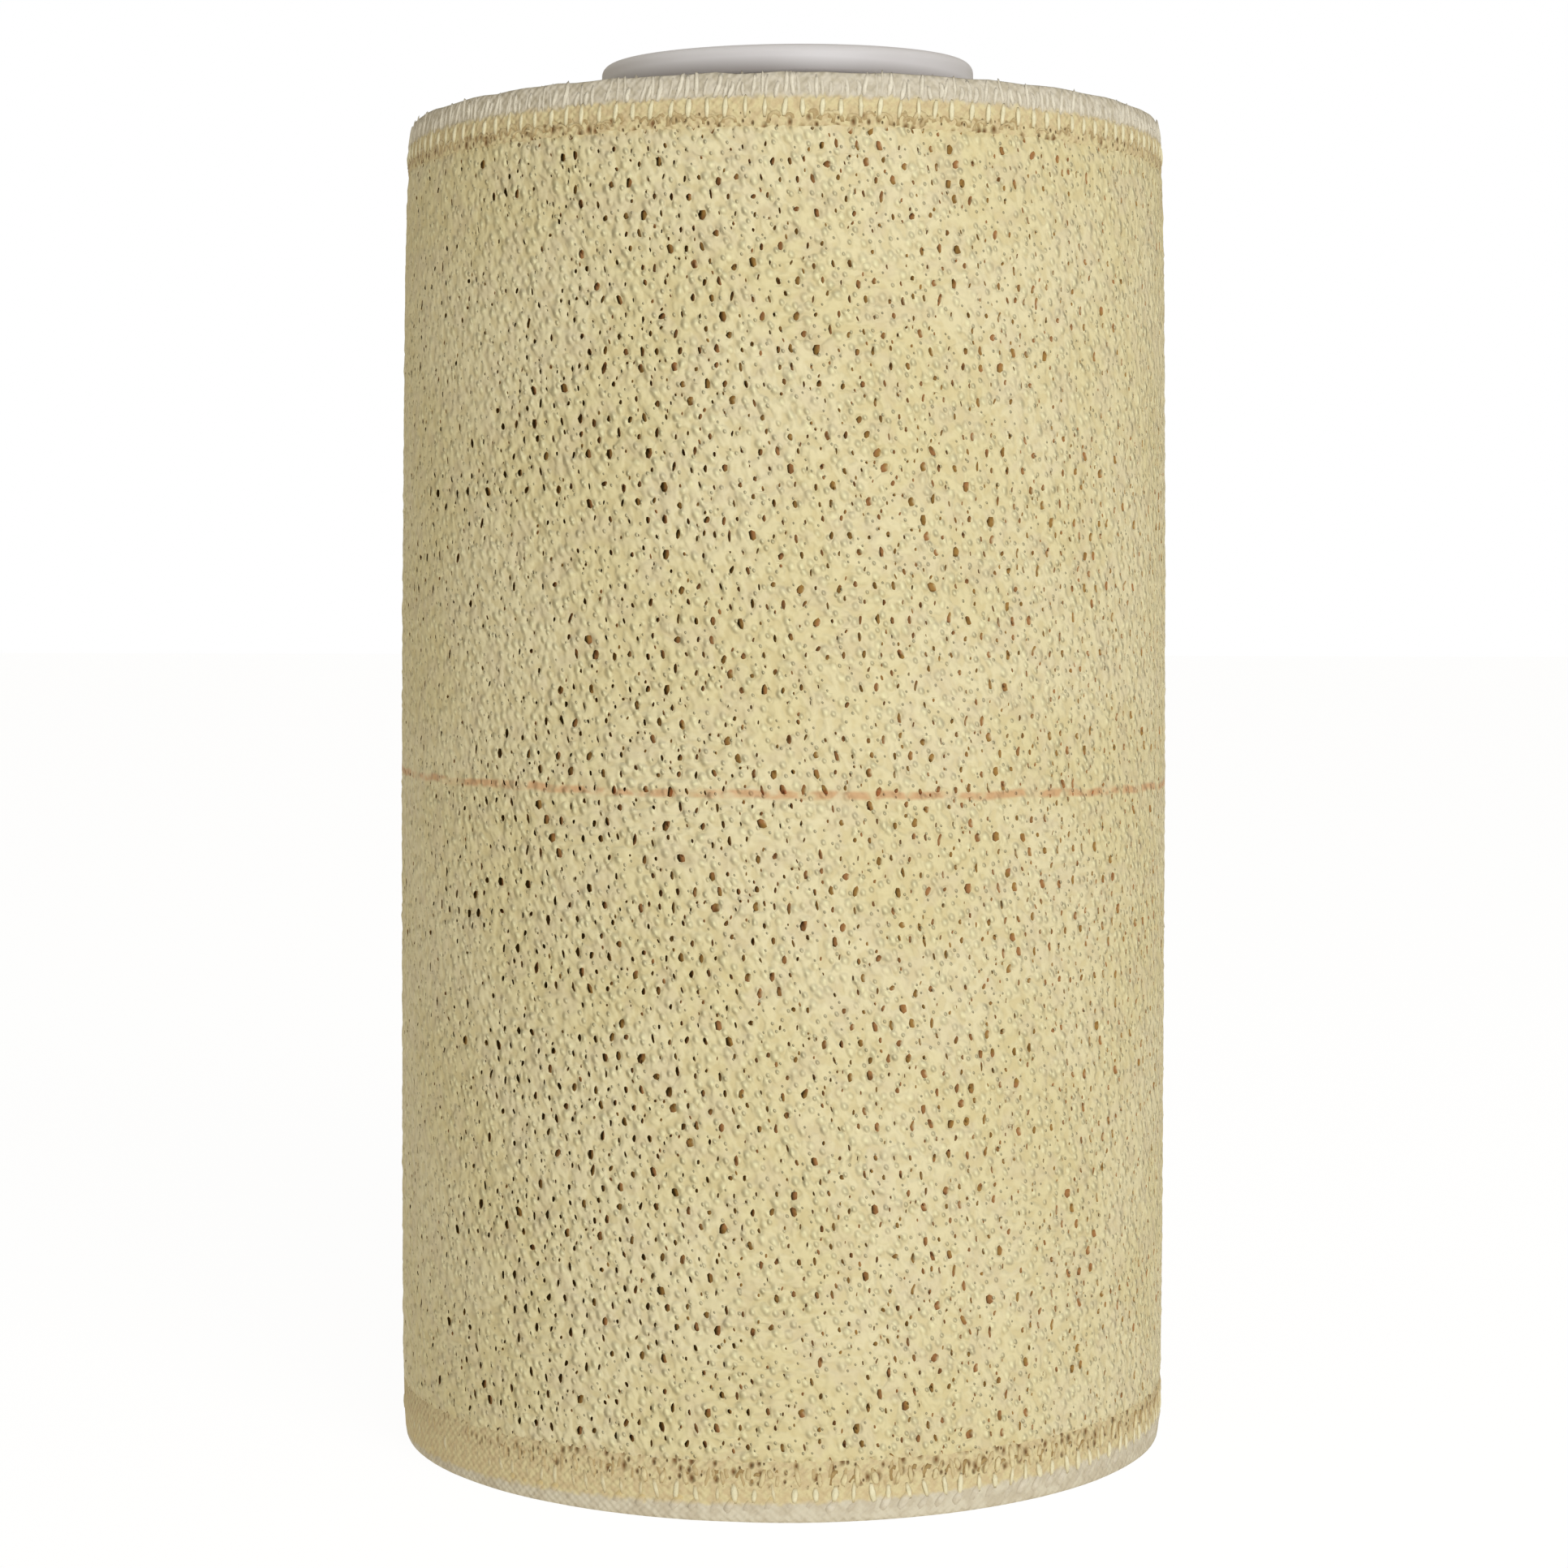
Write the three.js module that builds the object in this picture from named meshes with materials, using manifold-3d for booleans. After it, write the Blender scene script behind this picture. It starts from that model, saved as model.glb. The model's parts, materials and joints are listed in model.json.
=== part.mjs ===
// An elastic adhesive bandage, 10 cm wide, wound on a plastic core and standing on its end.
// Millimetres, +Z up. The origin is on the core's axis, in the plane that the roll stands on. The front is -Y.

import * as THREE from "three";
import { mergeVertices } from "three/addons/utils/BufferGeometryUtils.js";
import Module from "manifold-3d";

const wasm = await Module();
wasm.setup();

// Driving sizes.
const CLOTH_WIDTH = 100;
const TURN_THICKNESS = 0.75; // one turn of coated cloth, pressed by the winding
const ROLL_RADIUS = 29.5; // the middle of the outer turn, where the roll is widest
const ROLL_OFFSET = -0.36; // the winding has built up unevenly, so its outside is off the core's axis along X
const CORE_RADIUS = 13.2;
const CORE_WALL = 1.6;
const CORE_PROUD = 4.6; // how far the core stands above the cloth's upper edge
const WINDING_CLEARANCE = 0.3; // between the core and the first turn

// The core's lip is a bead with a round upper edge and a chamfer under it.
const LIP_RADIUS = 14.3;
const LIP_HEIGHT = 2.0;
const LIP_ROUND = 0.95;
const LIP_UNDERCUT = 0.25;
const LIP_ROUND_STEPS = 5;
const CORE_SEGMENTS = 72;

// Seen from above, the winding is a spiral, and the cloth's cut end makes a step in it at the back, which is +Y.
const END_ANGLE = Math.PI / 2;
const ROLL_SEGMENTS = 96;

// The cloth's upper edge climbs towards +X by this much for each millimetre.
const UPPER_EDGE_SLOPE = 0.0065;

// The roll narrows a little towards its upper end, and both of its edges are soft.
const SIDE = [
  { height: 0.0, inset: 0.3 },
  { height: 0.5, inset: 0.17 },
  { height: 5.0, inset: 0.05 },
  { height: 15.0, inset: 0.0 },
  { height: 50.0, inset: 0.0 },
  { height: 64.0, inset: 0.06 },
  { height: 76.0, inset: 0.17 },
  { height: 88.0, inset: 0.3 },
  { height: 94.0, inset: 0.45 },
  { height: 98.5, inset: 0.62 },
  { height: 99.6, inset: 0.72 },
  { height: 100.0, inset: 0.95 },
];

// On both ends some turns part from the next one for a full turn and leave a groove.
const PARTED_TURNS = [2, 6, 10, 14, 18]; // counted from the outer turn
const GROOVE_WIDTH = 0.3;
const GROOVE_DEPTH = 0.5;
const GROOVE_SEGMENTS = 40;

// A three.js geometry as a solid with its shared points merged.
function solidOf(geometry) {
  const bare = new THREE.BufferGeometry();
  bare.setAttribute("position", geometry.getAttribute("position"));
  if (geometry.index) {
    bare.setIndex(geometry.index);
  }
  const merged = mergeVertices(bare, 1e-4);
  const mesh = new wasm.Mesh({
    numProp: 3,
    vertProperties: new Float32Array(merged.attributes.position.array),
    triVerts: new Uint32Array(merged.index.array),
  });
  return new wasm.Manifold(mesh);
}

// A solid as a three.js geometry.
function geometryOf(solid) {
  const { vertProperties, triVerts } = solid.getMesh();
  const geometry = new THREE.BufferGeometry();
  geometry.setAttribute("position", new THREE.BufferAttribute(new Float32Array(vertProperties), 3));
  geometry.setIndex(new THREE.BufferAttribute(new Uint32Array(triVerts), 1));
  geometry.computeVertexNormals();
  return geometry;
}

// A point of the winding as seen from above. turned runs from 0 to 1 around one turn, from the cloth's cut end,
// and depth is how many turns the point lies under the outer one.
function windingPoint(turned, depth) {
  const radius = ROLL_RADIUS + TURN_THICKNESS * (turned - 0.5 - depth);
  const angle = END_ANGLE + 2 * Math.PI * turned;
  const offset = (ROLL_OFFSET * (radius - CORE_RADIUS)) / (ROLL_RADIUS - CORE_RADIUS);
  return new THREE.Vector2(offset + radius * Math.cos(angle), radius * Math.sin(angle));
}

// The plastic core: an open tube with a lip at its upper end.
function coreGeometry() {
  const bore = CORE_RADIUS - CORE_WALL;
  const top = CLOTH_WIDTH + CORE_PROUD;
  const underLip = top - LIP_HEIGHT;
  const profile = [
    new THREE.Vector2(bore, 0),
    new THREE.Vector2(CORE_RADIUS, 0),
    new THREE.Vector2(CORE_RADIUS, underLip - LIP_UNDERCUT),
    new THREE.Vector2(LIP_RADIUS - LIP_UNDERCUT, underLip),
    new THREE.Vector2(LIP_RADIUS, underLip + LIP_UNDERCUT),
  ];
  for (let i = 0; i <= LIP_ROUND_STEPS; i++) {
    const turned = (i / LIP_ROUND_STEPS) * (Math.PI / 2);
    const radius = LIP_RADIUS - LIP_ROUND * (1 - Math.cos(turned));
    profile.push(new THREE.Vector2(radius, top - LIP_ROUND * (1 - Math.sin(turned))));
  }
  profile.push(new THREE.Vector2(bore, top), new THREE.Vector2(bore, 0));
  return new THREE.LatheGeometry(profile, CORE_SEGMENTS).rotateX(Math.PI / 2);
}

// The groove that a parted turn leaves, as a thin wall to cut with. It stands on z = 0.
function grooveGeometry(turn) {
  const half = GROOVE_WIDTH / 2 / TURN_THICKNESS;
  const outline = [];
  for (let i = 0; i <= GROOVE_SEGMENTS; i++) {
    outline.push(windingPoint(i / GROOVE_SEGMENTS, turn - half));
  }
  for (let i = GROOVE_SEGMENTS; i >= 0; i--) {
    outline.push(windingPoint(i / GROOVE_SEGMENTS, turn + half));
  }
  return new THREE.ExtrudeGeometry(new THREE.Shape(outline), {
    depth: 2 * GROOVE_DEPTH,
    bevelEnabled: false,
  });
}

// The outside of the roll: the spiral section carried up through the side's table.
function outsideGeometry() {
  const outline = [];
  for (let i = 0; i <= ROLL_SEGMENTS; i++) {
    outline.push(windingPoint(i / ROLL_SEGMENTS, 0));
  }
  const levels = SIDE.length - 1;
  const body = new THREE.ExtrudeGeometry(new THREE.Shape(outline), {
    depth: levels,
    steps: levels,
    bevelEnabled: false,
  });
  const place = body.getAttribute("position");
  for (let i = 0; i < place.count; i++) {
    const { height, inset } = SIDE[Math.round(place.getZ(i))];
    const x = place.getX(i);
    const y = place.getY(i);
    const radius = Math.hypot(x - ROLL_OFFSET, y);
    const share = (radius - inset) / radius;
    const climb = (UPPER_EDGE_SLOPE * x * height) / CLOTH_WIDTH;
    place.setXYZ(i, ROLL_OFFSET + (x - ROLL_OFFSET) * share, y * share, height + climb);
  }
  return body;
}

// The wound cloth: its outside, less the core's seat and the grooves in both ends.
function windingGeometry() {
  const seat = new THREE.CylinderGeometry(
    CORE_RADIUS + WINDING_CLEARANCE,
    CORE_RADIUS + WINDING_CLEARANCE,
    3 * CLOTH_WIDTH,
    CORE_SEGMENTS,
  ).rotateX(Math.PI / 2);
  let solid = solidOf(outsideGeometry()).subtract(solidOf(seat));
  for (const turn of PARTED_TURNS) {
    const lower = grooveGeometry(turn).translate(0, 0, -GROOVE_DEPTH);
    const upper = grooveGeometry(turn).translate(0, 0, CLOTH_WIDTH - GROOVE_DEPTH);
    const place = upper.getAttribute("position");
    for (let i = 0; i < place.count; i++) {
      place.setZ(i, place.getZ(i) + UPPER_EDGE_SLOPE * place.getX(i));
    }
    solid = solid.subtract(solidOf(lower)).subtract(solidOf(upper));
  }
  return geometryOf(solid);
}

const plastic = new THREE.MeshStandardMaterial({ color: 0xd6d1d3, roughness: 0.42, metalness: 0 });
const coatedCloth = new THREE.MeshStandardMaterial({ color: 0xd5c89d, roughness: 0.72, metalness: 0 });

const core = new THREE.Mesh(coreGeometry(), plastic);
core.name = "core_tube";

const winding = new THREE.Mesh(windingGeometry(), coatedCloth);
winding.name = "bandage_winding";

const roll = new THREE.Group();
roll.name = "bandage_roll";
roll.add(core, winding);

export default roll;
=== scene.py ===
# An elastic adhesive bandage, 10 cm wide, wound on a plastic core and standing on its end.
# The cloth's pieces are made flat first, in millimetres: x runs along the cloth and is 0 at its cut end, y runs
# across it from the lower edge, and z stands out of its coated side. They are then wound onto the roll in metres.
import json
import math
from functools import partial
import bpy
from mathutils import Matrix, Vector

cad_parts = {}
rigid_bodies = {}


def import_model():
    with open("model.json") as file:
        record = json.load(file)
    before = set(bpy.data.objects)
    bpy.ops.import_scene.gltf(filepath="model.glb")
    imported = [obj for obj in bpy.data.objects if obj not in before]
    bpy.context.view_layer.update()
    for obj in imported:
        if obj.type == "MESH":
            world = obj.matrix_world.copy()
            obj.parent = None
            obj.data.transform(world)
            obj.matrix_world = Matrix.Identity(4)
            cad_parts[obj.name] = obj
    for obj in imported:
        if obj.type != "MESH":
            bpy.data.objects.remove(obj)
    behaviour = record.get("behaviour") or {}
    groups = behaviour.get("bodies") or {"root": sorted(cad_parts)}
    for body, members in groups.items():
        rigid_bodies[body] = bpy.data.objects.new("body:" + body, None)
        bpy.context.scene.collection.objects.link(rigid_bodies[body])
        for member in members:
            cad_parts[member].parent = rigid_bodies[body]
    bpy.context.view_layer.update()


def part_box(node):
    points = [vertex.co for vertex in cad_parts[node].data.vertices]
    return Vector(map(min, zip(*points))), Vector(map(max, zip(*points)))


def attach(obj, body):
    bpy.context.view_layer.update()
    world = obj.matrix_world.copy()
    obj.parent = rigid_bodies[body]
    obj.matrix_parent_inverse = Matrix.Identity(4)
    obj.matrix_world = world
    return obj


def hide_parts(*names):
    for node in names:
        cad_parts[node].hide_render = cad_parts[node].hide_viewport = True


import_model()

from types import SimpleNamespace

import bmesh
import bpy
import numpy as np
from mathutils import Vector
from mathutils.geometry import delaunay_2d_cdt

MM = 0.001

# The roll. Its outside comes from the CAD.
roll_low, roll_high = (np.array(corner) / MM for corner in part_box("bandage_winding"))
TURN = 0.75  # one turn of coated cloth
ROLL_RADIUS = (roll_high[0] - roll_low[0]) / 2
ROLL_OFFSET = (roll_high[0] + roll_low[0]) / 2 - TURN / 4
OUTER_LENGTH = 2 * math.pi * ROLL_RADIUS
END_ANGLE = math.pi / 2  # the cut end is at the back
TURNS = 21.2
PARTED_TURNS = [2, 6, 10, 14, 18]  # turns that stand off the one outside them
WIDTH = 100.0
EDGE_SLOPE = 0.0065  # the upper edge climbs towards +X
# The side's heights, and how far it is in from its widest at each.
SIDE_HEIGHT = [0.0, 0.5, 5.0, 15.0, 50.0, 64.0, 76.0, 88.0, 94.0, 98.5, 99.6, 100.0]
SIDE_INSET = [0.3, 0.17, 0.05, 0.0, 0.0, 0.06, 0.17, 0.3, 0.45, 0.62, 0.72, 0.95]

# The core.
CORE_RADIUS = 13.2
BORE_RADIUS = 11.6
LIP_RADIUS = 14.3
CORE_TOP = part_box("core_tube")[1][2] / MM
LIP_FOOT = CORE_TOP - 2.4

# The coat's pores stand in rows, one pore to a stitch of the cloth under it. A tile of it has two by two of them.
STITCHES = 136  # in the outer turn
PORE_PITCH = OUTER_LENGTH / STITCHES
ROW_PITCH = 1.163
ROW_LEAN = 0.071
TILE_LENGTH = 2 * PORE_PITCH
TILE_HEIGHT = 2 * ROW_PITCH
TILE_KINDS = 48
COAT_COLUMNS = 71
COAT_PIECES = {"coat_lower": 13, "coat_middle": 14, "coat_upper": 13}  # how many rows of tiles each piece has
COAT_FOOT = 3.74
COAT_HEAD = COAT_FOOT + sum(COAT_PIECES.values()) * TILE_HEIGHT
COAT_SEED = 7
OPEN_PLACE = 105.0  # along the outer turn, where the coat was stretched most
THREAD_HEIGHT = 50.0  # the coloured guide thread in the middle of the cloth
RIM_SHADE = 0.3  # the pore attribute at a pore's rim

# The height that the adhesive's oil has wicked down to, as a wave round the roll.
WICKED_MEAN = 1.1
WICKED_SWING = 0.75
WICKED_PHASE = 2.03

# Kinds of node that are used often, each with its settings.
ADD, SUBTRACT, MULTIPLY, DIVIDE, MULTIPLY_ADD, MODULO, FLOOR, COSINE, ABSOLUTE, MAXIMUM, LESS_THAN = (
    ("ShaderNodeMath", {"operation": name})
    for name in "ADD SUBTRACT MULTIPLY DIVIDE MULTIPLY_ADD MODULO FLOOR COSINE ABSOLUTE MAXIMUM LESS_THAN".split()
)
STRETCH = ("ShaderNodeVectorMath", {"operation": "MULTIPLY"})
RANGE = "ShaderNodeMapRange"
SOFT_RANGE = ("ShaderNodeMapRange", {"interpolation_type": "SMOOTHSTEP"})
NOISE = "ShaderNodeTexNoise"
FLAT_NOISE = ("ShaderNodeTexNoise", {"noise_dimensions": "2D"})
RANDOM = "FunctionNodeRandomValue"


def colour(code):
    """An sRGB hex code as linear red, green, blue and alpha."""
    channels = [int(code[i : i + 2], 16) / 255 for i in (0, 2, 4)]
    return [c / 12.92 if c <= 0.04045 else ((c + 0.055) / 1.055) ** 2.4 for c in channels] + [1.0]


def fill(tree, sockets, values):
    """Links or sets sockets, in order or by key. A value is a socket to link from, a number or a hex colour."""
    for key, value in values.items() if isinstance(values, dict) else enumerate(values):
        if isinstance(value, bpy.types.NodeSocket):
            tree.links.new(value, sockets[key])
        else:
            sockets[key].default_value = colour(value) if isinstance(value, str) else value


def node(tree, kind, inputs=(), out=0, **settings):
    """Adds a node, sets it, links or sets its inputs, and returns one of its outputs."""
    name, usual = kind if isinstance(kind, tuple) else (kind, {})
    made = tree.nodes.new(name)
    for key, value in {**usual, **settings}.items():
        setattr(made, key, value)
    fill(tree, made.inputs, inputs)
    return made.outputs[out]


def mesh_object(name, points, faces, material=None, smooth=True):
    """An object of these points and faces."""
    mesh = bpy.data.meshes.new(name)
    mesh.from_pydata(np.asarray(points, float).tolist(), [], faces)
    if material:
        mesh.materials.append(material)
    mesh.polygons.foreach_set("use_smooth", [smooth] * len(mesh.polygons))
    mesh.update()
    made = bpy.data.objects.new(name, mesh)
    bpy.context.scene.collection.objects.link(made)
    return made


def skin(rings, sides, flipped=False, closed=False):
    """The faces along a row of rings of points, which is closed to a loop or capped at both ends."""
    faces = []
    for ring in range(rings if closed else rings - 1):
        here, there = ring * sides, (ring + 1) % rings * sides
        for k in range(sides):
            ahead = (k + 1) % sides
            faces.append((here + k, here + ahead, there + ahead, there + k))
    if flipped:
        faces = [(a, d, c, b) for a, b, c, d in faces]
    if closed:
        return faces
    first, last = tuple(range(sides)), tuple(range((rings - 1) * sides, rings * sides))
    return faces + ([first, last[::-1]] if flipped else [first[::-1], last])


def points_of(mesh):
    """A mesh's points as an array."""
    flat = np.zeros(len(mesh.vertices) * 3, np.float32)
    mesh.vertices.foreach_get("co", flat)
    return flat.reshape(-1, 3).astype(float)


def set_points(mesh, points):
    """Moves a mesh's points to the places of this array."""
    mesh.vertices.foreach_set("co", points.astype(np.float32).ravel())


def drift(place, period, seed):
    """A smooth random wave along the cloth, from about -1 to 1, that repeats nowhere near its period."""
    rng = np.random.default_rng(seed)
    total = np.zeros_like(place)
    for share in (1.0, 0.61, 0.37, 0.23):
        total += math.sqrt(share) * np.sin(2 * math.pi * place / (period * share) + rng.uniform(0, 2 * math.pi))
    return total / 1.9


# Winding.


def cloth_length(turns):
    """How much cloth there is in this many turns, counted from the cut end."""
    return 2 * math.pi * ((ROLL_RADIUS + TURN / 2) * turns - TURN / 2 * turns**2)


def wound(flat):
    """Points of the flat cloth, in millimetres, as places on the roll, in metres."""
    along, across, out = flat.T
    start = ROLL_RADIUS + TURN / 2
    turns = (start - np.sqrt(start**2 + TURN * along / math.pi)) / TURN
    radius = start - TURN * turns + out
    near = (radius - CORE_RADIUS) / (ROLL_RADIUS - CORE_RADIUS)
    inset = sum(np.interp(across + d, SIDE_HEIGHT, SIDE_INSET) for d in (-0.9, -0.3, 0.3, 0.9)) / 4
    radius = radius - inset * near
    angle = END_ANGLE - 2 * math.pi * turns
    x = ROLL_OFFSET * near + radius * np.cos(angle)
    y = radius * np.sin(angle)
    z = across * (1 + EDGE_SLOPE * x / WIDTH)
    return np.column_stack([x, y, z]) * MM


def wind(made):
    """Winds a flat piece onto the roll, smooth. Its material keeps reading the flat cloth's millimetres."""
    mesh = made.data
    flat = points_of(mesh)
    kept = mesh.attributes.new("flat", "FLOAT_VECTOR", "POINT")
    kept.data.foreach_set("vector", flat.astype(np.float32).ravel())
    set_points(mesh, wound(flat))
    mesh.polygons.foreach_set("use_smooth", [True] * len(mesh.polygons))
    mesh.update()
    return made


# Materials. The cloth's are laid out flat in millimetres, so a noise of scale 2 has grains of half a millimetre.


def new_material(name):
    """A new material, its node tree and its shader."""
    material = bpy.data.materials.new(name)
    material.use_nodes = True
    return material, material.node_tree, material.node_tree.nodes["Principled BSDF"]


def cloth_place(tree):
    """The place on the flat cloth, whole and in its three parts."""
    flat = node(tree, "ShaderNodeAttribute", out="Vector", attribute_name="flat")
    return flat, node(tree, "ShaderNodeSeparateXYZ", (flat,)).node.outputs


def layered(tree, ground, *layers):
    """A colour with others laid over it. A layer is a share and a colour."""
    for share, paint in layers:
        ground = node(tree, "ShaderNodeMix", {0: share, 6: ground, 7: paint}, 2, data_type="RGBA")
    return ground


def patches(tree, place, scale, low, high, first=0.0, last=1.0, detail=2.0):
    """Soft patches: a noise that goes from first to last between two of its levels."""
    noise = node(tree, FLAT_NOISE, {"Vector": place, "Scale": scale, "Detail": detail})
    return node(tree, SOFT_RANGE, (noise, low, high, first, last))


def wave(tree, place, pitch, phase=0.0):
    """A wave from -1 to 1 along a place, with a crest at 0 where the phase is 0."""
    turned = node(tree, MULTIPLY_ADD, (place, 2 * math.pi / pitch, phase))
    return node(tree, COSINE, (turned,))


def weighted(tree, *parts):
    """A sum of sockets, each times its weight."""
    total = 0.0
    for socket, weight in parts:
        total = node(tree, MULTIPLY_ADD, (socket, weight, total))
    return total


def spots(tree, place, scale, rarity, smallest, largest, room=1.0):
    """Round spots of random sizes, one to a cell: 1 in the middle of a spot and 0 at its edge. The room, from 0
    to 1, is how far they may grow."""
    cells = node(tree, "ShaderNodeTexVoronoi", {"Vector": place, "Scale": scale}, voronoi_dimensions="2D")
    cells = cells.node.outputs
    chance = node(tree, "ShaderNodeSeparateColor", (cells["Color"],))
    size = node(tree, SOFT_RANGE, (chance, rarity, 1.0, smallest, largest))
    size = node(tree, MULTIPLY, (size, room))
    return node(tree, SOFT_RANGE, (cells["Distance"], 0.0, size, 1.0, 0.0))


def film_relief(tree, flat, axes, pore):
    """The film's height in millimetres, and the lumps and the drops in it. It sinks at the rim of each pore."""
    put = partial(node, tree)
    # The threads' twist shows through as a slanting ridge each 1.18 mm, bent by a slow noise.
    slant = put("ShaderNodeVectorMath", (flat, (0.735, 0.425, 0.0)), 1, operation="DOT_PRODUCT")
    bend = put(FLAT_NOISE, {"Vector": flat, "Scale": 0.35, "Detail": 1.0})
    bent = put(MULTIPLY_ADD, (bend, 1.1, slant))
    ridge = wave(tree, bent, 1.18, -math.pi / 2)

    # Lumps of 0.8 mm are drawn out along the slant, or level with the cloth where the film was pulled.
    sheared = put("ShaderNodeVectorRotate", {"Vector": flat, "Angle": -0.5}, rotation_type="Z_AXIS")
    slanting = put(STRETCH, (sheared, (1.08, 0.8, 1.0)))
    level = put(STRETCH, (flat, (0.7, 1.15, 1.0)))
    lumpy = {"Scale": 1 / 0.8, "Detail": 1.0, "Roughness": 0.4}
    both_ways = put("ShaderNodeMix", {
        0: patches(tree, flat, 1 / 20, 0.56, 0.7),
        2: put(FLAT_NOISE, {"Vector": slanting, **lumpy}),
        3: put(FLAT_NOISE, {"Vector": level, **lumpy}),
    })
    lumps = put(SOFT_RANGE, (both_ways, 0.28, 0.74))
    drop = spots(tree, slanting, 1.35, 0.1, 0.12, 0.62)

    # The rows of pores lie in faint furrows.
    waver = put(FLAT_NOISE, {"Vector": flat, "Scale": 1 / 2.5, "Detail": 1.0})
    first_row = COAT_FOOT + 0.25 * ROW_PITCH - 0.25
    waver = put(MULTIPLY_ADD, (waver, 0.5, first_row))
    rows = wave(tree, put(SUBTRACT, (axes[1], waver)), ROW_PITCH)
    grains = put(FLAT_NOISE, {"Vector": slanting, "Scale": 2.6, "Detail": 0.0})
    powder = put(FLAT_NOISE, {"Vector": flat, "Scale": 7.5, "Detail": 1.0})

    parts = ((ridge, 0.02), (lumps, 0.135), (drop, 0.19), (rows, -0.01), (grains, 0.02), (powder, 0.006))
    height = weighted(tree, *parts)
    # From the roll's left round to its back the coat is pressed flatter.
    left, front = -0.74 * OUTER_LENGTH, -0.61 * OUTER_LENGTH
    pressed = put(SOFT_RANGE, (axes[0], left, front, 0.66, 1.0))
    height = put(MULTIPLY, (height, pressed))
    sunk = put(SOFT_RANGE, (pore, 0.4 * RIM_SHADE, RIM_SHADE))
    return put(MULTIPLY_ADD, (sunk, -0.05, height)), lumps, drop


def guide_thread(tree, flat, axes):
    """How far the guide thread shows: only where the film is thin."""
    put = partial(node, tree)
    from_front = put(ADD, (axes[0], OUTER_LENGTH / 2))
    run = put(MULTIPLY_ADD, (from_front, -0.0137, THREAD_HEIGHT + 0.5))
    waver = put(FLAT_NOISE, {"Vector": flat, "Scale": 0.3, "Detail": 1.0})
    waver = put(MULTIPLY_ADD, (waver, 0.5, -0.25))
    run = put(ADD, (run, waver))
    off_thread = put(SUBTRACT, (axes[1], run))
    off_thread = put(ABSOLUTE, (off_thread,))
    line = put(SOFT_RANGE, (off_thread, 0.12, 0.42, 1.0, 0.0))
    thin = patches(tree, flat, 0.6, 0.36, 0.56, 0.25, 1.0)
    return put(MULTIPLY, (line, thin))


def film_colour(tree, flat, axes, lumps, drop, thread):
    """Cream, a little greyer and pinker in patches, with painted shade between the lumps and a painted highlight
    on each drop.
    """
    put = partial(node, tree)
    film = layered(tree, "c4ba93", (patches(tree, flat, 0.09, 0.35, 0.65), "c8bf9d"))
    # Painted shade darkens the film between the lumps, and a painted highlight lightens the middle of each drop.
    film = layered(
        tree,
        layered(tree, film, (0.36, "b0a073")),
        (put(SOFT_RANGE, (lumps, 0.0, 0.5)), film),
        (put(SOFT_RANGE, (drop, 0.3, 1.0, 0.0, 0.6)), "d9d4ae"),
        (patches(tree, flat, 1 / 2.5, 0.48, 0.68, 0.0, 0.36), "bbae94"),
        (put(MULTIPLY, (thread, 0.78)), "b48a64"),
    )

    # Next to its own edges the film thins out and takes the band's tan.
    by_head = put(SOFT_RANGE, (axes[1], COAT_HEAD - 1.1, COAT_HEAD, 0.0, 0.8))
    by_foot = put(SOFT_RANGE, (axes[1], COAT_FOOT, COAT_FOOT + 1.1, 0.7, 0.0))
    by_edge = put(MAXIMUM, (by_head, by_foot))
    thin = patches(tree, flat, 1.1, 0.4, 0.6)
    return layered(tree, film, (put(MULTIPLY, (by_edge, thin)), "b8a577"))


def coat_material():
    """Zinc oxide and rubber adhesive, spread warm on crepe cloth: a matt, waxy cream film, lumpy over the
    threads, with tan cloth at the bottom of its pores. The guide thread shows through it as a soft pink line."""
    material, tree, shader = new_material("zinc_oxide_adhesive_coat")
    put = partial(node, tree)
    flat, axes = cloth_place(tree)
    pore = put("ShaderNodeAttribute", out="Fac", attribute_name="pore")
    height, lumps, drop = film_relief(tree, flat, axes, pore)
    thread = guide_thread(tree, flat, axes)
    film = film_colour(tree, flat, axes, lumps, drop, thread)

    # The walls and floors of the open pores get painted shade, darkest on the side of the roll at OPEN_PLACE.
    moved = put(ADD, (axes[0], OPEN_PLACE - 5))
    around = wave(tree, moved, OUTER_LENGTH)
    darkness = put(MULTIPLY_ADD, (around, 0.14, 0.87))
    depth = put(MULTIPLY, (pore, darkness))
    earth = layered(tree, "8f6e3c", (patches(tree, flat, 0.7, 0.42, 0.58, detail=1.0), "946a43"))
    in_pore = put(SOFT_RANGE, (pore, RIM_SHADE + 0.01, 0.5))
    bare_thread = put(MULTIPLY, (thread, put(MULTIPLY, (in_pore, 0.7))))
    # Painted shadow, dark brown, at the left of each pore.
    dark = put(SOFT_RANGE, (depth, 0.55, 0.97))
    finish = layered(tree, film, (in_pore, earth), (bare_thread, "9a5434"), (dark, "2f230c"))
    fill(tree, shader.inputs, {
        "Base Color": finish,
        "IOR": 1.45,
        "Specular Tint": (1.0, 0.9, 0.68, 1.0),
        "Specular IOR Level": put(SOFT_RANGE, (pore, RIM_SHADE, 0.6, 0.28, 0.05)),
        "Roughness": patches(tree, flat, 1.3, 0.3, 0.7, 0.45, 0.6),
        "Normal": put("ShaderNodeBump", {"Height": height, "Strength": 1.0, "Distance": MM}),
    })
    return material


def wicked_height(tree, along):
    """How far above the lower edge the oil has wicked down to: least at the roll's left."""
    around = wave(tree, along, OUTER_LENGTH, WICKED_PHASE)
    return node(tree, MULTIPLY_ADD, (around, WICKED_SWING, WICKED_MEAN))


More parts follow.
